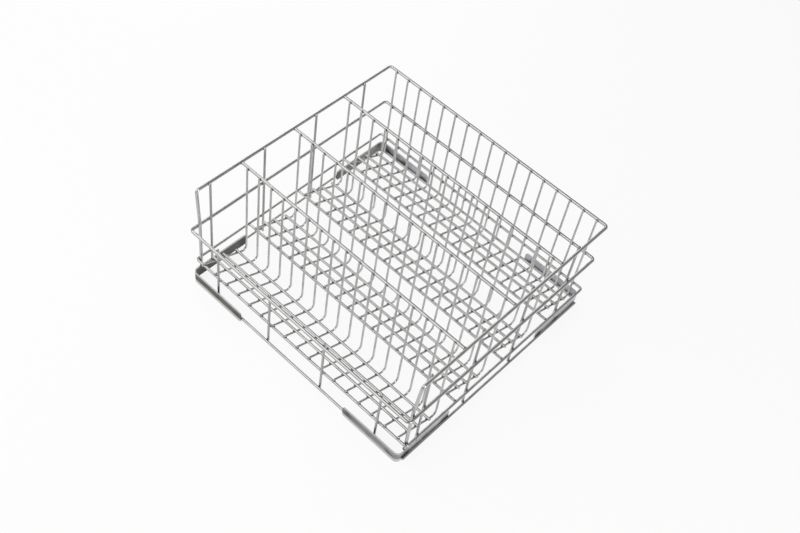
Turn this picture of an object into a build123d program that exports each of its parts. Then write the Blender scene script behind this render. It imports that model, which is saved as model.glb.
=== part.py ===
"""Dishwasher basket: a welded basket of bright round wire with four sloping rows.

Two closed rings and an open top rim make the frame. In each row a set of bent wires runs
down a sloping floor and turns up into a fence, so that what stands in the row leans back.
Four bent corner plates join the straight base wires and are what the basket stands on.

Millimetres, +Z up. The origin is on the ground under the middle of the basket, +Y is its back.
"""
import os
from math import acos, atan2, cos, hypot, tan

from build123d import *

# Overall sizes: the width over the rings, the depth over the corner plates
WIDTH = 530.0
DEPTH = 500.0
HEIGHT = 234.0

# Wire diameters
FRAME_WIRE = 6.0
LOWER_WIRE = 5.0
POST_WIRE = 4.5
ROW_WIRE = 4.0

# Heights of the centre lines above the ground
MID_RING_HEIGHT = 138.0
LOW_RING_HEIGHT = 47.0
BASE_WIRE_HEIGHT = 8.0

# Centre-line bend radii
MID_RING_BEND = 6.0
RIM_BEND = 6.0
LOW_RING_BEND = 5.0
ROW_WIRE_BEND = 9.0

# Rows: a row runs from its front rail back to the uprights of its bent wires
ROWS = 4
ROW_DEPTH = 101.5
WIRES_IN_ROW = 17
SIDE_MARGIN = 17.5
BEND_CLEARANCE = 9.5
FIRST_FLOOR_RAIL = 25.0
SECOND_FLOOR_RAIL = 49.0
THIRD_FLOOR_RAIL = 80.0
FLOOR_RAIL_OVERHANG = 5.0

# Posts: a side post stands a step behind each front rail, and all posts end above a ring's middle
POST_STEP = 31.5
FRONT_POSTS = 4
FRONT_POST_MARGIN = 61.5
POST_END = 2.0
LEG_CLEARANCE = 0.5

# Corner plates of upright strip, bent round the corner
SHEET = 1.5
PLATE_LEG = 130.0
PLATE_HEIGHT = 27.0
PLATE_BEND = 9.0
PLATE_END_ROUND = 6.0

# The inside faces of all rings and base wires lie in these planes, so that the posts touch them
inner_x = WIDTH / 2 - FRAME_WIRE
inner_y = DEPTH / 2 - SHEET - LOWER_WIRE
rim_z = HEIGHT - FRAME_WIRE / 2

# The low ring's front run lies behind the front posts and carries the first row
low_front_y = -inner_y + POST_WIRE + LOWER_WIRE / 2
back_riser_y = inner_y - ROW_WIRE / 2
row_pitch = (back_riser_y - low_front_y - ROW_DEPTH) / (ROWS - 1)
wire_reach = inner_x - SIDE_MARGIN
wire_pitch = 2 * wire_reach / (WIRES_IN_ROW - 1)

# The row wire's floor is the line that lies on the front rail and runs into the bend
lift = (ROW_WIRE + LOWER_WIRE) / 2
bend_back = ROW_DEPTH - ROW_WIRE_BEND
bend_up = BEND_CLEARANCE + ROW_WIRE / 2 + ROW_WIRE_BEND - LOW_RING_HEIGHT
floor_slope = atan2(bend_back, bend_up) - acos((ROW_WIRE_BEND + lift) / hypot(bend_back, bend_up))


def front_rail_y(row):
    """Where the front rail of a row lies; the first one is the low ring itself."""
    return low_front_y + row * row_pitch


def floor_z(step):
    """Height of a row wire's centre line, a step behind the front rail."""
    return LOW_RING_HEIGHT + lift / cos(floor_slope) - step * tan(floor_slope)


def sweep_wire(path, diameter):
    """Round wire along a path."""
    return sweep(Plane(path @ 0, z_dir=path % 0) * Circle(diameter / 2), path)


def straight_side(reach):
    """How far a base wire goes on along a corner plate: to the start of the plate's bend."""
    return reach - SHEET - PLATE_BEND


def ring(diameter, height, front_y, bend):
    """Closed wire ring whose inside faces lie against the posts."""
    half_x = inner_x + diameter / 2
    back_y = inner_y + diameter / 2
    outline = RectangleRounded(2 * half_x, back_y - front_y, bend).wire()
    return sweep_wire(Pos(0, (back_y + front_y) / 2, height) * outline, diameter)


def top_rim():
    """Wire rim, open at the front, whose ends turn down inside the rings and stand on the plates."""
    half_x = inner_x + FRAME_WIRE / 2
    leg_x = inner_x - FRAME_WIRE / 2
    leg_y = low_front_y + LOW_RING_BEND + LEG_CLEARANCE
    right = [
        (half_x, inner_y + FRAME_WIRE / 2, rim_z),
        (half_x, leg_y, rim_z),
        (leg_x, leg_y, MID_RING_HEIGHT + FRAME_WIRE),
        (leg_x, leg_y, PLATE_HEIGHT),
    ]
    left = [(-x, y, z) for x, y, z in reversed(right)]
    return sweep_wire(FilletPolyline(*left, *right, radius=RIM_BEND), FRAME_WIRE)


def cross_rail(diameter, half_length, y, z):
    """Straight wire from side to side."""
    return Pos(0, y, z) * Rot(0, 90, 0) * Cylinder(diameter / 2, 2 * half_length)


def side_rail(diameter, half_length, x, z):
    """Straight wire from front to back."""
    return Pos(x, 0, z) * Rot(90, 0, 0) * Cylinder(diameter / 2, 2 * half_length)


def post(x, y, foot, top):
    """Upright wire."""
    return Pos(x, y, (foot + top) / 2) * Cylinder(POST_WIRE / 2, top - foot)


def side_post_foot(y):
    """A side post stands on a corner plate, or reaches to the underside of the base wire."""
    if abs(y) + POST_WIRE / 2 > DEPTH / 2 - PLATE_LEG:
        return PLATE_HEIGHT
    return BASE_WIRE_HEIGHT - LOWER_WIRE / 2


def row_wire(x, row):
    """Bent wire: a sloping floor, a bend close to the ground and an upright."""
    front_y = front_rail_y(row)
    riser_y = front_y + ROW_DEPTH
    path = FilletPolyline(
        (x, front_y, floor_z(0)),
        (x, riser_y, floor_z(ROW_DEPTH)),
        (x, riser_y, rim_z + POST_END),
        radius=ROW_WIRE_BEND,
    )
    return sweep_wire(path, ROW_WIRE)


def row_wires(row):
    """All bent wires of a row."""
    return Compound(children=[row_wire(-wire_reach + i * wire_pitch, row) for i in range(WIRES_IN_ROW)])


def corner_plate(side, end):
    """Strip bent round a corner, inside the side base wire and outside the front or back one."""
    outside = RectangleRounded(2 * inner_x, DEPTH, PLATE_BEND + SHEET)
    inside = RectangleRounded(2 * (inner_x - SHEET), DEPTH - 2 * SHEET, PLATE_BEND)
    corner = Box(PLATE_LEG, PLATE_LEG, PLATE_HEIGHT, align=(Align.MAX, Align.MAX, Align.MIN))
    plate = extrude(outside - inside, PLATE_HEIGHT) & Pos(inner_x, DEPTH / 2, 0) * corner
    ends = [plate.faces().sort_by(axis)[0].edges().sort_by(Axis.Z) for axis in (Axis.X, Axis.Y)]
    plate = fillet([edge for edges in ends for edge in (edges[0], edges[-1])], PLATE_END_ROUND)
    if side < 0:
        plate = mirror(plate, Plane.YZ)
    if end < 0:
        plate = mirror(plate, Plane.XZ)
    return plate


def basket():
    """Every piece of the basket by name."""
    pieces = {
        "top_rim": top_rim(),
        "mid_ring": ring(FRAME_WIRE, MID_RING_HEIGHT, -inner_y - FRAME_WIRE / 2, MID_RING_BEND),
        "low_ring": ring(LOWER_WIRE, LOW_RING_HEIGHT, low_front_y, LOW_RING_BEND),
    }
    for side, word, end_word in ((-1, "left", "front"), (1, "right", "back")):
        x = side * (inner_x + LOWER_WIRE / 2)
        y = side * (inner_y + LOWER_WIRE / 2)
        side_wire = side_rail(LOWER_WIRE, straight_side(DEPTH / 2), x, BASE_WIRE_HEIGHT)
        end_wire = cross_rail(LOWER_WIRE, straight_side(inner_x), y, BASE_WIRE_HEIGHT)
        pieces[f"base_{word}_wire"] = side_wire
        pieces[f"base_{end_word}_wire"] = end_wire
    for row in range(ROWS):
        name = f"row_{row + 1}"
        front_y = front_rail_y(row)
        pieces[f"{name}_wires"] = row_wires(row)
        if row > 0:
            pieces[f"{name}_front_rail"] = cross_rail(LOWER_WIRE, inner_x, front_y, LOW_RING_HEIGHT)
        if row < ROWS - 1:
            top_y = front_y + ROW_DEPTH + (ROW_WIRE + FRAME_WIRE) / 2
            pieces[f"{name}_top_rail"] = cross_rail(FRAME_WIRE, inner_x, top_y, rim_z)
        floor_rails = (FIRST_FLOOR_RAIL, SECOND_FLOOR_RAIL, THIRD_FLOOR_RAIL)
        for number, step in enumerate(floor_rails, start=1):
            rail_z = floor_z(step) + lift / cos(floor_slope)
            rail = cross_rail(LOWER_WIRE, wire_reach + FLOOR_RAIL_OVERHANG, front_y + step, rail_z)
            pieces[f"{name}_floor_rail_{number}"] = rail
        post_x = inner_x - POST_WIRE / 2
        post_y = front_y + POST_STEP
        for side, word in ((-1, "left"), (1, "right")):
            side_post = post(side * post_x, post_y, side_post_foot(post_y), rim_z + POST_END)
            pieces[f"{word}_post_{row + 1}"] = side_post
    front_reach = inner_x - FRONT_POST_MARGIN
    front_pitch = 2 * front_reach / (FRONT_POSTS - 1)
    front_post_y = -inner_y + POST_WIRE / 2
    front_post_foot = BASE_WIRE_HEIGHT - LOWER_WIRE / 2
    for number in range(FRONT_POSTS):
        x = -front_reach + number * front_pitch
        front_post = post(x, front_post_y, front_post_foot, MID_RING_HEIGHT + POST_END)
        pieces[f"front_post_{number + 1}"] = front_post
    for side, side_word in ((-1, "left"), (1, "right")):
        for end, end_word in ((-1, "front"), (1, "back")):
            pieces[f"corner_plate_{end_word}_{side_word}"] = corner_plate(side, end)
    return pieces


os.makedirs("parts", exist_ok=True)
for node, shape in basket().items():
    export_step(shape, f"parts/{node}.step")
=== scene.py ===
# %% [markdown]
# # A dishwasher basket of bright wire
#
# The basket is a cage of round stainless wire: rings and posts for the frame, four rows of bent
# wires for the dishes, and bent corner plates to stand on. The solids come in finished from the
# CAD model, at their real size in metres, with +Z up and the high back towards +Y.
# What Blender adds is everything that makes wire look like wire: the finish of drawn and polished
# steel, the small weld at every crossing, the rounded ends, and the light that shows all of it.

from math import atan2, cos, degrees, pi, radians, sin

import bpy
import numpy as np
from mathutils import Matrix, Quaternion, Vector


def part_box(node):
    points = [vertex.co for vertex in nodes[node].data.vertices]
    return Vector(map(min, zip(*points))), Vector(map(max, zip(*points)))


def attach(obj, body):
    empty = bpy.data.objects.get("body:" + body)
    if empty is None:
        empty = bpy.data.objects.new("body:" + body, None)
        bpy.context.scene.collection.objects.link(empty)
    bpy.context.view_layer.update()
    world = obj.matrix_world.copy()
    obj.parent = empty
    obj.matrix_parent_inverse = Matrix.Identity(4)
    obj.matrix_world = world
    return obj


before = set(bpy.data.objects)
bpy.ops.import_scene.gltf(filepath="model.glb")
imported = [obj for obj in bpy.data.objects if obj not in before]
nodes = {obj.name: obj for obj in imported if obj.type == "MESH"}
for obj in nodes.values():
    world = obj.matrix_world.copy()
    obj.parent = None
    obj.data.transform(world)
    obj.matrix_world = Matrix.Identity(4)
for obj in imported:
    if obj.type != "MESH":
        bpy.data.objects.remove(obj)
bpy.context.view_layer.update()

# %% [markdown]
# ## Reading the frame's sizes from the solids
#
# Every weld sits where two wires touch, so the places of the welds are worked out and not typed
# in. A straight rail's own box already says where its axis is and how thick it is. Reading these
# values from the frame keeps the dressing right if the CAD model is packed again with other sizes.

# %% Where the rings and posts are


def middle(node):
    """Centre of a solid's box."""
    low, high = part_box(node)
    return (low + high) / 2


def rail_radius(node):
    """Half the thickness of a straight rail or of a flat ring."""
    low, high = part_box(node)
    return (high.z - low.z) / 2


frame_radius = rail_radius("mid_ring")
lower_radius = rail_radius("low_ring")
mid_height, low_height = middle("mid_ring").z, middle("low_ring").z
base_height = middle("base_left_wire").z
plate_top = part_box("corner_plate_front_left")[1].z
rim_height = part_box("top_rim")[1].z - frame_radius
mid_ring_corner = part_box("mid_ring")[1]
inner_x = mid_ring_corner.x - 2 * frame_radius
inner_y = mid_ring_corner.y - 2 * frame_radius
post_low, post_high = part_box("left_post_1")
post_radius = (post_high.x - post_low.x) / 2
print("inside of the rings:", round(2 * inner_x, 4), "x", round(2 * inner_y, 4))

# %% [markdown]
# ## Reading the rows
#
# The bent wires of a row are one solid, whose box shows only the two outermost ones. The others
# are spread evenly between those. The slope of a row's floor could be measured on the mesh, but
# the floor rails lie on it, and the line from the first to the last of them has the same slope.

# %% Where the rows run
ROWS = 4
WIRES_IN_ROW = 17
ROW_WIRE_RADIUS = 0.002
FLOOR_RAILS = 3


def front_line(row):
    """Middle of the wire a row starts on: the low ring's front run, or its own front rail."""
    if row == 1:
        return Vector((0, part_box("low_ring")[0].y + lower_radius, low_height))
    return middle(f"row_{row}_front_rail")


first_rail = middle("row_1_floor_rail_1")
last_rail = middle(f"row_1_floor_rail_{FLOOR_RAILS}")
floor_slope = atan2(first_rail.z - last_rail.z, last_rail.y - first_rail.y)
floor_normal = Vector((0, sin(floor_slope), cos(floor_slope)))
wire_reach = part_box("row_1_wires")[1].x - ROW_WIRE_RADIUS
wire_places = np.linspace(-wire_reach, wire_reach, WIRES_IN_ROW)
wire_pitch = wire_places[1] - wire_places[0]
print("floor slope:", round(degrees(floor_slope), 2), "degrees")
print("wire pitch:", round(wire_pitch, 4))

# %% [markdown]
# ## Building blocks of the finishes
#
# Every finish here is a metal that varies a little from place to place. An image would need
# unwrapping and a file, so the variation is a noise in object space, which goes through a solid
# as the grain goes through wood. Small helpers make the nodes, so that a finish can be read as
# a list of layers and not as a page of links.

# %% Metal and noise
CLOUD_SCALE = 45.0


def metal_tree(name):
    """New material with a metal shader, and the node tree to dress it with."""
    material = bpy.data.materials.new(name)
    material.use_nodes = True
    tree = material.node_tree
    shader = tree.nodes["Principled BSDF"]
    shader.inputs["Metallic"].default_value = 1.0
    return material, tree, shader


def object_noise(tree, scale, stretch=(1, 1, 1), detail=3.0):
    """Noise in object space, with a stretch for each axis."""
    place = tree.nodes.new("ShaderNodeTexCoord")
    mapping = tree.nodes.new("ShaderNodeMapping")
    mapping.inputs["Scale"].default_value = stretch
    noise = tree.nodes.new("ShaderNodeTexNoise")
    noise.inputs["Scale"].default_value = scale
    noise.inputs["Detail"].default_value = detail
    tree.links.new(place.outputs["Object"], mapping.inputs["Vector"])
    tree.links.new(mapping.outputs["Vector"], noise.inputs["Vector"])
    return noise.outputs["Fac"]


print("a cloud in the steel is about", round(1000 / CLOUD_SCALE), "mm wide")

# %% [markdown]
# ## Numbers, colours and relief from a noise
#
# A noise lies mostly between 0.3 and 0.7, so that span is stretched over the whole range of a
# tone or of a roughness. Relief is a bump, which only tilts the light: the lines on a wire are far
# finer than any mesh that would be worth its weight.

# %% Ramps and relief
NOISE_SPAN = (0.3, 0.7)


def spread(tree, value, ends, results, smooth=False):
    """Number that goes from one result to the other between two ends of a value."""
    node = tree.nodes.new("ShaderNodeMapRange")
    if smooth:
        node.interpolation_type = "SMOOTHSTEP"
    for key, number in zip(("From Min", "From Max", "To Min", "To Max"), (*ends, *results)):
        node.inputs[key].default_value = number
    tree.links.new(value, node.inputs["Value"])
    return node.outputs["Result"]


def shade_between(tree, noise, dark, pale):
    """Colour that runs from dark to pale with a noise."""
    ramp = tree.nodes.new("ShaderNodeValToRGB")
    for stop, position, colour in zip(ramp.color_ramp.elements, NOISE_SPAN, (dark, pale)):
        stop.position = position
        stop.color = (*colour, 1)
    tree.links.new(noise, ramp.inputs["Fac"])
    return ramp.outputs["Color"]


def relief(tree, shader, height, strength, depth):
    """Shallow bump on the shader."""
    bump = tree.nodes.new("ShaderNodeBump")
    bump.inputs["Strength"].default_value = strength
    bump.inputs["Distance"].default_value = depth
    tree.links.new(height, bump.inputs["Height"])
    tree.links.new(bump.outputs["Normal"], shader.inputs["Normal"])


print("span of a noise that is used:", NOISE_SPAN)

# %% [markdown]
# ## The finish of drawn and polished wire
#
# Stainless wire is pulled through a die, which leaves very fine lines along it, and the welded
# basket is then polished in a bath, which rounds those lines off and leaves a bright, slightly
# cloudy skin. One soft noise drives both the tone and the low roughness. On a straight wire, noise
# squeezed along its axis turns specks into drawn lines. A bent wire runs in several directions, so
# it gets a soft ripple, which looks right in all of them.

# %% Wire finishes
CLOUDINESS = 0.1
WARMTH = 0.99
BRIGHTER, DULLER = 0.04, 0.05
DRAWN_SCALE = 1400.0
DRAWN_STRETCH = 0.02
DRAWN = 0.12
RIPPLE_SCALE = 220.0
RIPPLED = 0.4
WIRE_RELIEF = 0.0002


def wire_finish(name, tone, rough, lie=None):
    """Wire of a tone, with drawn lines along the axis lie (0, 1 or 2), or rippled if it is bent."""
    material, tree, shader = metal_tree(name)
    cloud = object_noise(tree, CLOUD_SCALE)
    dark, pale = tone * (1 - CLOUDINESS), tone * (1 + CLOUDINESS)
    colour = shade_between(tree, cloud, (dark, dark, dark * WARMTH), (pale, pale, pale * WARMTH))
    tree.links.new(colour, shader.inputs["Base Color"])
    roughness = spread(tree, cloud, NOISE_SPAN, (rough - BRIGHTER, rough + DULLER))
    tree.links.new(roughness, shader.inputs["Roughness"])
    if lie is None:
        ripple = object_noise(tree, RIPPLE_SCALE, detail=0.0)
        relief(tree, shader, ripple, RIPPLED, WIRE_RELIEF)
        return material
    stretch = [1.0, 1.0, 1.0]
    stretch[lie] = DRAWN_STRETCH
    relief(tree, shader, object_noise(tree, DRAWN_SCALE, stretch), DRAWN, WIRE_RELIEF)
    return material


ring_steel = wire_finish("ring_steel", tone=0.49, rough=0.20)
cross_steel = wire_finish("cross_steel", tone=0.49, rough=0.22, lie=0)
post_steel = wire_finish("post_steel", tone=0.38, rough=0.22, lie=2)
row_steel = wire_finish("row_steel", tone=0.53, rough=0.26)
print("wire finishes:", [m.name for m in (ring_steel, cross_steel, post_steel, row_steel)])

# %% [markdown]
# ## Painted shade and light on the corner plates
#
# The plates are cut and bent from rolled strip, which is flatter and duller than the wire. Their
# colour carries painted shade and painted light: it drifts from a dark olive at the front left,
# painted shade, to a pale bluish one at the back right, a painted bluish light. Four materials
# would make four plain steps. One colour ramp along X + Y lets the tone drift along each plate too.

# %% Painted shade to painted light
SHADE_TO_LIGHT_REACH = 0.5
# Dark olive painted shade at the front left, pale bluish painted light at the back right.
SHADE_TO_LIGHT_TONES = (
    (0.05, (0.085, 0.087, 0.066)),
    (0.42, (0.25, 0.25, 0.235)),
    (0.51, (0.38, 0.38, 0.38)),
    (0.57, (0.74, 0.74, 0.79)),
    (0.95, (0.76, 0.76, 0.82)),
)


def feed(tree, term, socket):
    """Link a socket to another one, or set it to a plain number or colour."""
    if isinstance(term, bpy.types.NodeSocket):
        tree.links.new(term, socket)
    else:
        socket.default_value = term


def calculate(tree, operation, *terms):
    """Result of a math node on sockets and plain numbers."""
    node = tree.nodes.new("ShaderNodeMath")
    node.operation = operation
    for term, socket in zip(terms, node.inputs):
        feed(tree, term, socket)
    return node.outputs["Value"]


def painted_shade_and_light_colour(tree, axes):
    """Painted shade at the front left corner, running to painted bluish light at the back right
    one.
    """
    along = calculate(tree, "ADD", axes.outputs["X"], axes.outputs["Y"])
    ramp = tree.nodes.new("ShaderNodeValToRGB")
    stops = ramp.color_ramp.elements
    while len(stops) < len(SHADE_TO_LIGHT_TONES):
        stops.new(0.5)
    for stop, (position, colour) in zip(stops, SHADE_TO_LIGHT_TONES):
        stop.position = position
        stop.color = (*colour, 1)
    tree.links.new(spread(tree, along, (-SHADE_TO_LIGHT_REACH, SHADE_TO_LIGHT_REACH), (0.0, 1.0)), ramp.inputs["Fac"])
    return ramp.outputs["Color"]


print("strip tones:", len(SHADE_TO_LIGHT_TONES), "over", 2 * SHADE_TO_LIGHT_REACH, "m of X + Y")

# %% [markdown]
# ## Painted light on the plates
#
# A pale painted highlight runs along the upper edge of each plate, and outside, its lowest few
# millimetres are painted pale: painted light in the place of a lit wire in front of the foot.
# They could be separate faces with a material of their own, but the CAD meshes stay as they are,
# so the shader reads the height. It tells the outside by whether a face looks away from the middle
# of the basket.

# %% Painted light at the foot and painted highlight on the upper edge
# Heights of the painted light at the foot and of the painted highlight on the upper edge.
PAINTED_FOOT_LIGHT_HEIGHT = 0.0085
PAINTED_FOOT_LIGHT_FADE = 1.4
PAINTED_FOOT_LIGHT_RAGGED = 0.5
PAINTED_EDGE_HIGHLIGHT_DEPTH = 0.0032
PAINTED_EDGE_HIGHLIGHT_FADE = 0.7


def painted_foot_light_share(tree, axes, uneven):
    """Share of painted light at the foot: all of it at the bottom, with a ragged upper edge."""
    height = calculate(tree, "MULTIPLY_ADD", uneven, PAINTED_FOOT_LIGHT_HEIGHT * PAINTED_FOOT_LIGHT_RAGGED, axes.outputs["Z"])
    return spread(tree, height, (PAINTED_FOOT_LIGHT_HEIGHT, PAINTED_FOOT_LIGHT_HEIGHT * PAINTED_FOOT_LIGHT_FADE), (1.0, 0.0))


def outside_share(tree, place):
    """1 on the faces that look away from the middle of the basket, 0 on those that look inwards."""
    geometry = tree.nodes.new("ShaderNodeNewGeometry")
    outwards = tree.nodes.new("ShaderNodeVectorMath")
    outwards.operation = "DOT_PRODUCT"
    tree.links.new(place, outwards.inputs[0])
    tree.links.new(geometry.outputs["True Normal"], outwards.inputs[1])
    return calculate(tree, "GREATER_THAN", outwards.outputs["Value"], 0.0)


def painted_light_share(tree, place, axes, uneven):
    """Share of painted light: at the foot outside, and a painted highlight along the upper edge."""
    foot = painted_foot_light_share(tree, axes, uneven)
    foot = calculate(tree, "MULTIPLY", foot, outside_share(tree, place))
    # Painted highlight along the upper edge of each plate.
    ends = (plate_top - PAINTED_EDGE_HIGHLIGHT_DEPTH, plate_top - PAINTED_EDGE_HIGHLIGHT_DEPTH * PAINTED_EDGE_HIGHLIGHT_FADE)
    return calculate(tree, "MAXIMUM", foot, spread(tree, axes.outputs["Z"], ends, (0.0, 1.0)))


print("bare steel: below", PAINTED_FOOT_LIGHT_HEIGHT, "and above", round(plate_top - PAINTED_EDGE_HIGHLIGHT_DEPTH, 4))

# %% [markdown]
# ## Heat marks
#
# Each plate is welded to the base wires with three short seams on each leg, and the heat leaves
# a dark bloom in the steel round every seam. The basket is the same left and right and front and
# back, so the shader folds its place onto one corner with absolute values and measures the distance
# to the seams of that corner only. An image of the marks would need unwrapping, and distance does
# not.

# %% Places of the seams
SEAM_INSETS = (0.022, 0.068, 0.119)
plate_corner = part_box("corner_plate_back_right")[1]
seam_height = base_height + lower_radius
seam_places = [(plate_corner.x - inset, plate_corner.y, seam_height) for inset in SEAM_INSETS]
seam_places += [(plate_corner.x, plate_corner.y - inset, seam_height) for inset in SEAM_INSETS]
print("seams of a plate:", len(seam_places))

# %% Heat marks
HEAT_REACH = 0.012
HEAT_RAGGED = 0.035
HEAT_TINT = (0.34, 0.33, 0.30, 1)


def distance_to(tree, place, point):
    """Distance from a place on the surface to a fixed point."""
    away = tree.nodes.new("ShaderNodeVectorMath")
    away.operation = "DISTANCE"
    away.inputs[1].default_value = point
    tree.links.new(place, away.inputs[0])
    return away.outputs["Value"]


def heat_share(tree, place, uneven):
    """How far the nearest seam has darkened the skin, more at some seams than at others."""
    folded = tree.nodes.new("ShaderNodeVectorMath")
    folded.operation = "ABSOLUTE"
    tree.links.new(place, folded.inputs[0])
    distances = [distance_to(tree, folded.outputs["Vector"], point) for point in seam_places]
    nearest = distances[0]
    for distance in distances[1:]:
        nearest = calculate(tree, "MINIMUM", nearest, distance)
    ragged = calculate(tree, "MULTIPLY_ADD", uneven, HEAT_RAGGED, nearest)
    ends = (HEAT_RAGGED / 2, HEAT_RAGGED / 2 + HEAT_REACH)
    return spread(tree, ragged, ends, (1.0, 0.0), smooth=True)


print("reach of a heat mark:", HEAT_REACH)

# %% [markdown]
# ## The grain of rolled strip
#
# Rolling leaves a long soft grain. A plate runs both ways round its corner, so one stretched noise
# would lie across one of the legs. Two of them, one along each side, are mixed by the direction
# that a face looks in: the leg along X shows the X grain and the leg along Y shows the Y grain.

# %% Grain
GRAIN_SCALE = 700.0
GRAIN_STRETCH = 0.04


def grain_by_side(tree):
    """Long grain along whichever side of the corner a face belongs to."""
    along_x = object_noise(tree, GRAIN_SCALE, (GRAIN_STRETCH, 1, 1))
    along_y = object_noise(tree, GRAIN_SCALE, (1, GRAIN_STRETCH, 1))
    geometry = tree.nodes.new("ShaderNodeNewGeometry")
    split = tree.nodes.new("ShaderNodeSeparateXYZ")
    tree.links.new(geometry.outputs["True Normal"], split.inputs["Vector"])
    grain = tree.nodes.new("ShaderNodeMix")
    tree.links.new(calculate(tree, "ABSOLUTE", split.outputs["X"]), grain.inputs["Factor"])
    tree.links.new(along_x, grain.inputs["A"])
    tree.links.new(along_y, grain.inputs["B"])
    return grain.outputs["Result"]


print("a grain line is about", round(1000 / GRAIN_SCALE / GRAIN_STRETCH), "mm long")

# %% [markdown]
# ## The strip, layer by layer
#
# The finish of the plates is laid up in layers: the painted shade and painted light that drift
# across the basket, the streaks of the rolling, the clouds of the bath, the heat of the welding,
# and last the painted light at the foot and the painted highlight on the upper edge. Each layer is
# a mix node on the one before, so a layer can be taken out or moved without touching the others.

# %% Strip finish
STRIP_METAL = 0.45
STREAK_DARK = (0.72, 0.72, 0.72)
BLOTCH_DARK = (0.70, 0.70, 0.70)
UNCHANGED = (1, 1, 1)
# Colour of the painted light at the foot and of the painted highlight on the upper edge.
PAINTED_LIGHT_COLOUR = (0.60, 0.60, 0.60, 1)
STRIP_ROUGHNESS = (0.28, 0.48)
GRAINED = 0.3
GRAIN_RELIEF = 0.0003


def layer(tree, kind, share, below, above):
    """Colour laid over another one, multiplied or mixed, by a share."""
    mix = tree.nodes.new("ShaderNodeMix")
    mix.data_type = "RGBA"
    mix.blend_type = kind
    first, second = [socket for socket in mix.inputs if socket.type == "RGBA"]
    for term, socket in ((share, mix.inputs["Factor"]), (below, first), (above, second)):
        feed(tree, term, socket)
    return next(socket for socket in mix.outputs if socket.type == "RGBA")


def strip_finish():
    """Rolled strip: drifting painted shade and light, streaks, clouds, heat marks, painted light at
    the foot and a painted highlight on the upper edge.
    """
    material, tree, shader = metal_tree("rolled_strip")
    shader.inputs["Metallic"].default_value = STRIP_METAL
    place = tree.nodes.new("ShaderNodeTexCoord").outputs["Object"]
    axes = tree.nodes.new("ShaderNodeSeparateXYZ")
    tree.links.new(place, axes.inputs["Vector"])
    blotch = object_noise(tree, CLOUD_SCALE)
    grain = grain_by_side(tree)
    streaks = shade_between(tree, grain, STREAK_DARK, UNCHANGED)
    clouds = shade_between(tree, blotch, BLOTCH_DARK, UNCHANGED)
    # Painted shade at the front left and painted light at the back right, under the streaks.
    tone_with_painted_light_and_shade = layer(tree, "MULTIPLY", 1.0, painted_shade_and_light_colour(tree, axes), streaks)
    tone_with_painted_light_and_shade = layer(tree, "MULTIPLY", 1.0, tone_with_painted_light_and_shade, clouds)
    tone_with_painted_light_and_shade = layer(tree, "MULTIPLY", heat_share(tree, place, blotch), tone_with_painted_light_and_shade, HEAT_TINT)
    # Painted light at the foot outside and a painted highlight along the upper edge.
    tone_with_painted_light_and_shade = layer(tree, "MIX", painted_light_share(tree, place, axes, blotch), tone_with_painted_light_and_shade, PAINTED_LIGHT_COLOUR)
    tree.links.new(tone_with_painted_light_and_shade, shader.inputs["Base Color"])
    roughness = spread(tree, grain, NOISE_SPAN, STRIP_ROUGHNESS)
    tree.links.new(roughness, shader.inputs["Roughness"])
    relief(tree, shader, grain, GRAINED, GRAIN_RELIEF)
    return material


rolled_strip = strip_finish()
print("strip finish:", rolled_strip.name, "with", len(rolled_strip.node_tree.nodes), "nodes")

# %% [markdown]
# ## Dressing the solids
#
# Each solid is one kind of wire or a plate, and its name says which. Going by the names is short.
# The rails and the posts get the finish whose drawn lines run along them, from side to side and
# upright, and the base wires share the finish of the rings.

# %% Dress the solids


def finish_of(node):
    """Finish of a solid by what it is."""
    if node.startswith("corner_plate"):
        return rolled_strip
    if "rail" in node:
        return cross_steel
    if "post" in node:
        return post_steel
    if node.endswith("_wires"):
        return row_steel
    return ring_steel


for name, solid in nodes.items():
    solid.data.materials.clear()
    solid.data.materials.append(finish_of(name))
print("dressed:", len(nodes), "solids")

# %% [markdown]
# ## The form of a weld
#
# The wires are resistance welded: they are pressed together while a current melts the spot where
# they touch, and a little metal is squeezed out round it. What is left is a low pillow of metal
# that lies across the line between the two wires. A flattened ball, made ring by ring as on a
# lathe, has that shape, and it is light enough to be copied to every crossing.

# %% Weld pillow
PILLOW_SIDES = 14
PILLOW_RINGS = 7


def pillow():
    """Points and faces of a ball of unit size, to be flattened along Z."""
    points = [(0, 0, -1)]
    for ring in range(1, PILLOW_RINGS):
        tilt = pi * ring / PILLOW_RINGS
        for side in range(PILLOW_SIDES):
            turn = 2 * pi * side / PILLOW_SIDES
            points.append((sin(tilt) * cos(turn), sin(tilt) * sin(turn), -cos(tilt)))
    points.append((0, 0, 1))
    last = len(points) - 1
    top = last - PILLOW_SIDES
    faces = []
    for side in range(PILLOW_SIDES):
        after = (side + 1) % PILLOW_SIDES
        faces.append((0, 1 + after, 1 + side))
        faces.append((last, top + side, top + after))
        for ring in range(PILLOW_RINGS - 2):
            a = 1 + ring * PILLOW_SIDES
            b = a + PILLOW_SIDES
            faces.append((a + side, a + after, b + after, b + side))
    return np.array(points), faces


weld_form = pillow()
print("weld form:", len(weld_form[0]), "points,", len(weld_form[1]), "faces")

# %% [markdown]
# ## Many copies of one form
#
# There are hundreds of welds and wire ends. An object for each would fill the file, so the points
# of a form are copied with numpy and joined into one mesh for each group. A copy is turned so that
# the form's Z axis lies along a given direction, then set to its width and height.

# %% Copies of a form
ACROSS_X = Vector((1, 0, 0))
ACROSS_Y = Vector((0, 1, 0))
ACROSS_Z = Vector((0, 0, 1))


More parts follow.
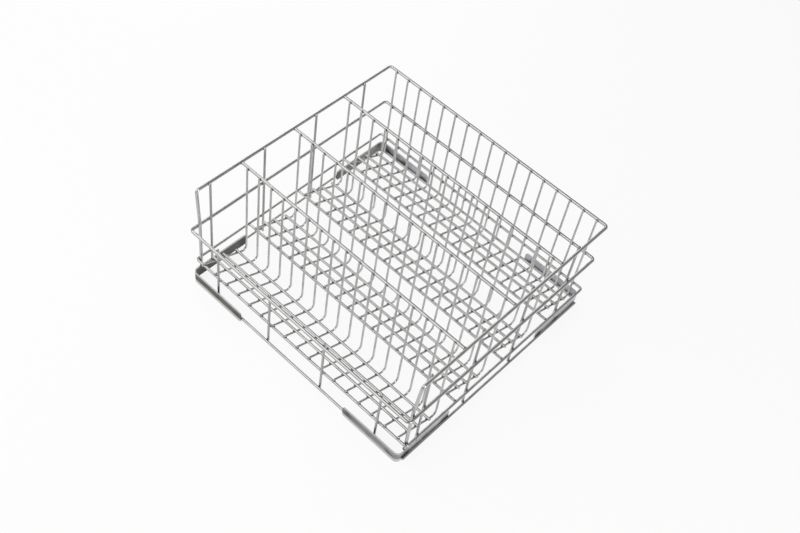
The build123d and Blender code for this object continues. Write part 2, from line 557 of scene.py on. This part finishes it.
def copies(name, form, places, material):
    """One mesh of copies of a form; a place is (point, axis, half width, height)."""
    form_points, form_faces = form
    points, faces = [], []
    for point, axis, width, height in places:
        turn = np.array(ACROSS_Z.rotation_difference(Vector(axis)).to_matrix())
        start = len(points) * len(form_points)
        points.append(form_points * (width, width, height) @ turn.T + np.array(point))
        faces += [tuple(start + corner for corner in face) for face in form_faces]
    mesh = bpy.data.meshes.new(name)
    mesh.from_pydata(np.concatenate(points).tolist(), [], faces)
    mesh.shade_smooth()
    mesh.materials.append(material)
    piece = bpy.data.objects.new(name, mesh)
    bpy.context.scene.collection.objects.link(piece)
    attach(piece, "root")
    print(name, "copies:", len(places), "faces:", len(faces))


print("directions:", [tuple(axis) for axis in (ACROSS_X, ACROSS_Y, ACROSS_Z)])

# %% [markdown]
# ## Weld metal and painted shade
#
# The squeezed-out metal was hot, so it is darker and rougher than the wire. Its tone is set darker
# still, as painted shade where the wires cross. The same kind of metal as the wire, with a darker
# tone, a coarse speck and a rougher surface, is enough at this size.

# %% Weld finish
WELD_SCALE = 700.0
# Weld tones are darkened further as painted shade where the wires cross.
WELD_DARK_AND_SHADE = (0.07, 0.068, 0.064)
WELD_PALE_AND_SHADE = (0.18, 0.176, 0.169)
WELD_ROUGHNESS = (0.28, 0.42)
SPECKLED = 0.3
SPECK_RELIEF = 0.0002


def weld_finish():
    """Squeezed-out metal: darker and rougher than the wire, with painted shade at the crossings."""
    material, tree, shader = metal_tree("weld_metal_and_shade")
    speck = object_noise(tree, WELD_SCALE)
    tree.links.new(shade_between(tree, speck, WELD_DARK_AND_SHADE, WELD_PALE_AND_SHADE), shader.inputs["Base Color"])
    tree.links.new(spread(tree, speck, NOISE_SPAN, WELD_ROUGHNESS), shader.inputs["Roughness"])
    relief(tree, shader, speck, SPECKLED, SPECK_RELIEF)
    return material


weld_metal_and_shade = weld_finish()
print("weld finish:", weld_metal_and_shade.name)

# %% [markdown]
# ## Welds of the rows
#
# Each bent wire is welded to its front rail, to three floor rails, and to what stands behind it:
# a top rail, or in the last row the rim and both rings. The welds are worked out in the middle of
# the basket first, and are then shifted to all the wires of the row.

# %% Row welds
SPOT_WIDTH = 0.0034
SPOT_HEIGHT = 0.0013


def row_welds(row):
    """Every crossing of a row's wires with its front rail, floor rails and what is behind it."""
    spots = [(front_line(row) + lower_radius * floor_normal, floor_normal)]
    for number in range(1, FLOOR_RAILS + 1):
        rail = middle(f"row_{row}_floor_rail_{number}")
        spots.append((rail - lower_radius * floor_normal, floor_normal))
    if row < ROWS:
        behind = middle(f"row_{row}_top_rail").y - frame_radius
        spots.append((Vector((0, behind, rim_height)), ACROSS_Y))
    else:
        for height in (rim_height, mid_height, low_height):
            spots.append((Vector((0, inner_y, height)), ACROSS_Y))
    welds = []
    for place, axis in spots:
        for x in wire_places:
            welds.append((place + Vector((x, 0, 0)), axis, SPOT_WIDTH, SPOT_HEIGHT))
    return welds


for row in range(1, ROWS + 1):
    copies(f"row_{row}_welds", weld_form, row_welds(row), weld_metal_and_shade)

# %% [markdown]
# ## Welds of the frame
#
# The posts and the front legs of the rim cross the rings and touch them side by side, so they get
# a spot at each crossing. The front and top rails of the rows butt against the rings and the rim,
# and the legs and the outermost side posts stand on a plate: there the weld goes round the whole
# end of the wire, and a wider, higher pillow shows as a collar.

# %% Kinds of frame welds
FRAME_SPOT_WIDTH = 0.0025
FRAME_SPOT_HEIGHT = 0.0012
END_SPREAD = 0.0007
END_HEIGHT = 0.0014


def spot(place, axis):
    """Weld between two wires that cross."""
    return place, axis, FRAME_SPOT_WIDTH, FRAME_SPOT_HEIGHT


def end_spot(place, axis, radius):
    """Weld round the end of a wire that butts against another one or stands on a plate."""
    return place, axis, radius + END_SPREAD, END_HEIGHT


print("collar round a post:", round(2 * (post_radius + END_SPREAD), 4), "wide")

# %% Frame welds
FRONT_POSTS = 4
leg_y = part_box("top_rim")[0].y + frame_radius


def side_welds(side):
    """Posts, leg and rail ends of the left (-1) or right (1) side."""
    wall = side * inner_x
    leg_foot = (side * (inner_x - frame_radius), leg_y, plate_top)
    welds = [spot((wall, leg_y, z), ACROSS_X) for z in (mid_height, low_height)]
    welds.append(end_spot(leg_foot, ACROSS_Z, frame_radius))
    for row in range(1, ROWS + 1):
        low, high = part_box(f"left_post_{row}")
        y = (low.y + high.y) / 2
        welds += [spot((wall, y, z), ACROSS_X) for z in (rim_height, mid_height, low_height)]
        if low.z < base_height:
            welds.append(spot((wall, y, base_height), ACROSS_X))
        else:
            foot = (side * (inner_x - post_radius), y, plate_top)
            welds.append(end_spot(foot, ACROSS_Z, post_radius))
        if row > 1:
            y = middle(f"row_{row}_front_rail").y
            welds.append(end_spot((wall, y, low_height), ACROSS_X, lower_radius))
        if row < ROWS:
            y = middle(f"row_{row}_top_rail").y
            welds.append(end_spot((wall, y, rim_height), ACROSS_X, frame_radius))
    return welds


def front_welds():
    """Front posts to the mid ring and base wire in front of them and the low ring behind them."""
    welds = []
    for number in range(1, FRONT_POSTS + 1):
        x = middle(f"front_post_{number}").x
        welds += [spot((x, -inner_y, z), ACROSS_Y) for z in (mid_height, base_height)]
        welds.append(spot((x, -inner_y + 2 * post_radius, low_height), ACROSS_Y))
    return welds


frame_welds = side_welds(-1) + side_welds(1) + front_welds()
copies("frame_welds", weld_form, frame_welds, weld_metal_and_shade)

# %% [markdown]
# ## Seams of the corner plates
#
# A base wire lies flat along each leg of a plate and is held there by three short seams. A seam is
# a run of spots that were set one beside the other, so it is made in the same way: the spots of a
# seam overlap and leave the scalloped edge of a hand-made weld.

# %% Plate seams
SEAM_PITCH = 0.0022
SEAM_SPOTS = 5


def seam(place, along, axis):
    """Short run of overlapping spots along a base wire."""
    steps = [(i - (SEAM_SPOTS - 1) / 2) * SEAM_PITCH for i in range(SEAM_SPOTS)]
    return [spot(Vector(place) + step * along, axis) for step in steps]


def plate_welds():
    """Three short seams on each leg of each plate, where a base wire lies against it."""
    welds = []
    for side in (-1, 1):
        for end in (-1, 1):
            wire_y = end * (inner_y + 2 * lower_radius)
            for inset in SEAM_INSETS:
                y = end * (plate_corner.y - inset)
                welds += seam((side * plate_corner.x, y, base_height), ACROSS_Y, ACROSS_X)
                x = side * (plate_corner.x - inset)
                welds += seam((x, wire_y, base_height), ACROSS_X, ACROSS_Y)
    return welds


copies("plate_welds", weld_form, plate_welds(), weld_metal_and_shade)

# %% [markdown]
# ## Wire ends
#
# Cut wire has sharp ends, and nobody wants those near hands and glasses, so they are ground and
# polished to a low dome. A bevel would change the CAD meshes, so a dome is set on each free end:
# half a ball, pressed flat, in the same way of copying that set the welds.

# %% Dome
DOME_SIDES = 16
DOME_RINGS = 4
DOME_RISE = 0.4


def dome():
    """Points and faces of half a ball of unit size, standing on the XY plane."""
    points = []
    for ring in range(DOME_RINGS):
        tilt = pi / 2 * ring / DOME_RINGS
        for side in range(DOME_SIDES):
            turn = 2 * pi * side / DOME_SIDES
            points.append((cos(tilt) * cos(turn), cos(tilt) * sin(turn), sin(tilt)))
    points.append((0, 0, 1))
    top = len(points) - 1
    faces = []
    for side in range(DOME_SIDES):
        after = (side + 1) % DOME_SIDES
        for ring in range(DOME_RINGS - 1):
            a = ring * DOME_SIDES
            b = a + DOME_SIDES
            faces.append((a + side, a + after, b + after, b + side))
        faces.append((top - DOME_SIDES + side, top - DOME_SIDES + after, top))
    return np.array(points), faces


def end_dome(point, axis, radius):
    """Dome on the end of a wire."""
    return point, axis, radius, radius * DOME_RISE


end_form = dome()
print("end form:", len(end_form[0]), "points,", len(end_form[1]), "faces")

# %% [markdown]
# ## Ends of the row wires
#
# A row wire has two free ends: the top of its upright, which stands a little above the rail, and
# the end of its floor on the front rail, which looks up the slope. Both are found from the
# row's box and slope, for one wire, and shifted along the row.

# %% Row wire ends


def row_ends(row):
    """Tops and front ends of a row's wires."""
    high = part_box(f"row_{row}_wires")[1]
    lift = (ROW_WIRE_RADIUS + lower_radius) / cos(floor_slope)
    start = front_line(row) + ACROSS_Z * lift
    uphill = Vector((0, -cos(floor_slope), sin(floor_slope)))
    top = Vector((0, high.y - ROW_WIRE_RADIUS, high.z))
    ends = []
    for x in wire_places:
        shift = Vector((x, 0, 0))
        ends.append(end_dome(start + shift, uphill, ROW_WIRE_RADIUS))
        ends.append(end_dome(top + shift, ACROSS_Z, ROW_WIRE_RADIUS))
    return ends


all_row_ends = [place for row in range(1, ROWS + 1) for place in row_ends(row)]
copies("row_wire_ends", end_form, all_row_ends, row_steel)

# %% [markdown]
# ## Ends of the straight wires
#
# The floor rails, the base wires and the posts are straight, so the middle of each end is half
# the box away from its centre, along the wire. Rails that butt against a ring have no free end.

# %% Straight wire ends


def rail_ends(node, axis, radius):
    """Both ends of a straight wire."""
    low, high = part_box(node)
    half = axis * ((high - low).dot(axis) / 2)
    centre = middle(node)
    return [end_dome(centre + half, axis, radius), end_dome(centre - half, -axis, radius)]


straight_ends = []
for name in nodes:
    if "floor_rail" in name or name in ("base_front_wire", "base_back_wire"):
        straight_ends += rail_ends(name, ACROSS_X, lower_radius)
    elif name in ("base_left_wire", "base_right_wire"):
        straight_ends += rail_ends(name, ACROSS_Y, lower_radius)
    elif "_post_" in name:
        straight_ends += rail_ends(name, ACROSS_Z, post_radius)
copies("straight_wire_ends", end_form, straight_ends, cross_steel)

# %% [markdown]
# ## Floor
#
# The basket stands on a pale floor that runs into the background without an edge. A matt floor
# alone comes out grey and uneven, and a glowing one has no shadow. So the two are mixed: to the
# camera and in the wires' reflections the floor mostly glows white, and the matt rest of it keeps
# a faint shadow.

# %% Pale floor
FLOOR_HALF = 80.0
FLOOR_DROP = 0.0003
FLOOR_COLOUR = (0.93, 0.93, 0.93, 1)
FLOOR_GLOW = 0.88


def floor_finish():
    """Matt floor that looks evenly white to the camera and in the wires, with a faint shadow."""
    material = bpy.data.materials.new("pale_floor")
    material.use_nodes = True
    tree = material.node_tree
    tree.nodes.clear()
    matt = tree.nodes.new("ShaderNodeBsdfDiffuse")
    matt.inputs["Color"].default_value = FLOOR_COLOUR
    glow = tree.nodes.new("ShaderNodeEmission")
    glow.inputs["Strength"].default_value = 1.0
    path = tree.nodes.new("ShaderNodeLightPath")
    seen = path.outputs["Is Camera Ray"]
    for kind in ("Is Glossy Ray", "Is Transmission Ray"):
        seen = calculate(tree, "MAXIMUM", seen, path.outputs[kind])
    blend = tree.nodes.new("ShaderNodeMixShader")
    tree.links.new(calculate(tree, "MULTIPLY", seen, FLOOR_GLOW), blend.inputs["Fac"])
    tree.links.new(matt.outputs["BSDF"], blend.inputs[1])
    tree.links.new(glow.outputs["Emission"], blend.inputs[2])
    output = tree.nodes.new("ShaderNodeOutputMaterial")
    tree.links.new(blend.outputs["Shader"], output.inputs["Surface"])
    return material


def floor_plane():
    """Large plane just under the plates."""
    mesh = bpy.data.meshes.new("floor")
    signs = [(-1, -1), (1, -1), (1, 1), (-1, 1)]
    corners = [(x * FLOOR_HALF, y * FLOOR_HALF, -FLOOR_DROP) for x, y in signs]
    mesh.from_pydata(corners, [], [(0, 1, 2, 3)])
    mesh.materials.append(floor_finish())
    plane = bpy.data.objects.new("floor", mesh)
    bpy.context.scene.collection.objects.link(plane)


floor_plane()
print("floor:", 2 * FLOOR_HALF, "m wide,", FLOOR_DROP, "m under the plates")

# %% [markdown]
# ## Sky
#
# Polished wire shows what is round it, so an even sky fills every reflection that no light or
# floor fills. A sky picture would draw windows and clouds into the wires. A plain white one, kept
# weak, lets the wires go dark where nothing bright is in line, and that draws their edges.

# %% Even sky
SKY_STRENGTH = 0.36

world = bpy.data.worlds.new("studio_sky")
bpy.context.scene.world = world
world.use_nodes = True
sky = world.node_tree.nodes["Background"]
sky.inputs["Color"].default_value = (1, 1, 1, 1)
sky.inputs["Strength"].default_value = SKY_STRENGTH
print("sky strength:", SKY_STRENGTH)

# %% [markdown]
# ## Soft lights
#
# A round wire turns any light into one line along it, and a wider light makes a softer line. One
# large soft light high on the left of the camera turns the wires along the front pale, a smaller
# one at the back left draws a light line along the ones that run from front to back, and a low one
# on the right, further off, lifts the outer faces of the plates there.

# %% Softboxes


def softbox(name, side, power, direction, distance):
    """Square soft light that faces the basket from a direction."""
    lamp = bpy.data.lights.new(name, "AREA")
    lamp.shape = "SQUARE"
    lamp.size = side
    lamp.energy = power
    box = bpy.data.objects.new(name, lamp)
    box.location = Vector(direction).normalized() * distance
    box.rotation_euler = Vector(direction).to_track_quat("Z", "Y").to_euler()
    bpy.context.scene.collection.objects.link(box)
    print(name, "at", [round(v, 2) for v in box.location])


softbox("front_softbox", side=2.0, power=17.0, direction=(-0.35, -0.5, 0.79), distance=1.7)
softbox("left_softbox", side=1.1, power=7.5, direction=(-0.76, 0.5, 0.43), distance=1.8)
softbox("right_softbox", side=0.9, power=20.0, direction=(0.95, -0.15, 0.27), distance=2.6)

# %% [markdown]
# ## Camera
#
# The view looks down on the basket from its front right, with the low front towards the lower left
# of the picture. The camera's place, the point it looks at, its lens and its lean come from fitting
# a camera to the straight wires of the photograph. Aiming at a point and then leaning about the
# line of sight is easier to follow than three angles.

# %% Place the camera
CAMERA_PLACE = Vector((0.7297, -1.0241, 1.6983))
CAMERA_AIM = Vector((0.0230, -0.0078, 0.104))
CAMERA_LENS = 50.816
CAMERA_LEAN = radians(10.71)

view = bpy.data.cameras.new("camera")
view.lens = CAMERA_LENS
camera = bpy.data.objects.new("camera", view)
camera.location = CAMERA_PLACE
look = (CAMERA_AIM - CAMERA_PLACE).to_track_quat("-Z", "Y")
camera.rotation_mode = "QUATERNION"
camera.rotation_quaternion = look @ Quaternion((0, 0, 1), CAMERA_LEAN)
bpy.context.scene.collection.objects.link(camera)
bpy.context.scene.camera = camera
bpy.context.scene.view_settings.view_transform = "Standard"
print("camera distance:", round((CAMERA_AIM - CAMERA_PLACE).length, 3))
